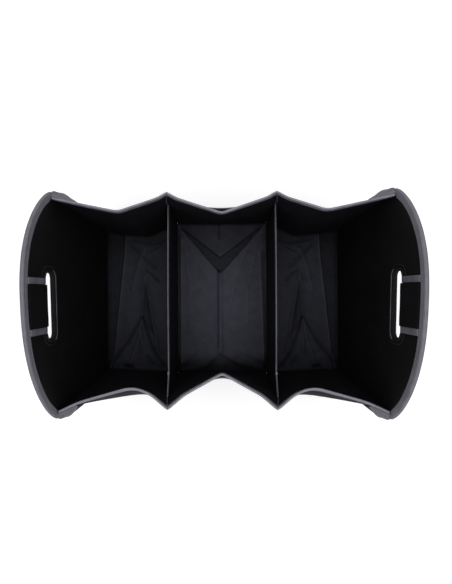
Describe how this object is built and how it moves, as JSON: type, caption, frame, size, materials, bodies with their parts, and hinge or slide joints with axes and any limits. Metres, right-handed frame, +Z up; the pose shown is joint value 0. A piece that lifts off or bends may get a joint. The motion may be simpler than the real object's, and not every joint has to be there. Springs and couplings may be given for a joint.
{
  "type": "car boot organizer",
  "caption": "Collapsible fabric boot organizer standing open, with arched end panels, handle slots, dividers and long walls folded inward in a V",
  "frame": {"origin": "On the floor, midway between the end panels and midway along their width.", "axes": "+X runs along the organizer to its right end, +Y points to its back wall, +Z is up."},
  "size_m": [0.539, 0.3556, 0.3622],
  "materials": {
    "panel_cloth": "matt woven cloth over board",
    "wall_cloth": "matt woven cloth",
    "base_lining": "thin nylon with a soft sheen",
    "grey_tape": "woven binding tape",
    "black_tape": "woven binding tape",
    "sleeve_cloth": "soft padded cloth"
  },
  "bodies": {
    "root": {"end_panel_left": "panel_cloth", "end_panel_right": "panel_cloth", "divider_left": "panel_cloth", "divider_right": "panel_cloth", "back_wall_left": "wall_cloth", "back_wall_middle": "wall_cloth", "back_wall_right": "wall_cloth", "front_wall_left": "wall_cloth", "front_wall_middle": "wall_cloth", "front_wall_right": "wall_cloth", "back_pocket": "wall_cloth", "front_pocket": "wall_cloth", "wing_back_left": "wall_cloth", "wing_back_right": "wall_cloth", "wing_front_left": "wall_cloth", "wing_front_right": "wall_cloth", "base_left": "base_lining", "base_middle": "base_lining", "base_right": "base_lining", "end_binding_left": "grey_tape", "end_binding_right": "grey_tape", "slot_rim_left": "grey_tape", "slot_rim_right": "grey_tape", "divider_binding_left": "grey_tape", "divider_binding_right": "grey_tape", "back_binding": "grey_tape", "front_binding": "grey_tape", "back_pocket_binding": "grey_tape", "front_pocket_binding": "grey_tape", "grip_tape_left_front": "grey_tape", "grip_tape_left_back": "grey_tape", "grip_tape_right_front": "grey_tape", "grip_tape_right_back": "grey_tape", "wing_binding_back_left": "grey_tape", "wing_binding_back_right": "grey_tape", "wing_binding_front_left": "grey_tape", "wing_binding_front_right": "grey_tape", "seam_tape_back_left": "black_tape", "seam_tape_back_right": "black_tape", "seam_tape_front_left": "black_tape", "seam_tape_front_right": "black_tape", "grip_sleeve_left": "sleeve_cloth", "grip_sleeve_right": "sleeve_cloth"}
  },
  "joints": []
}
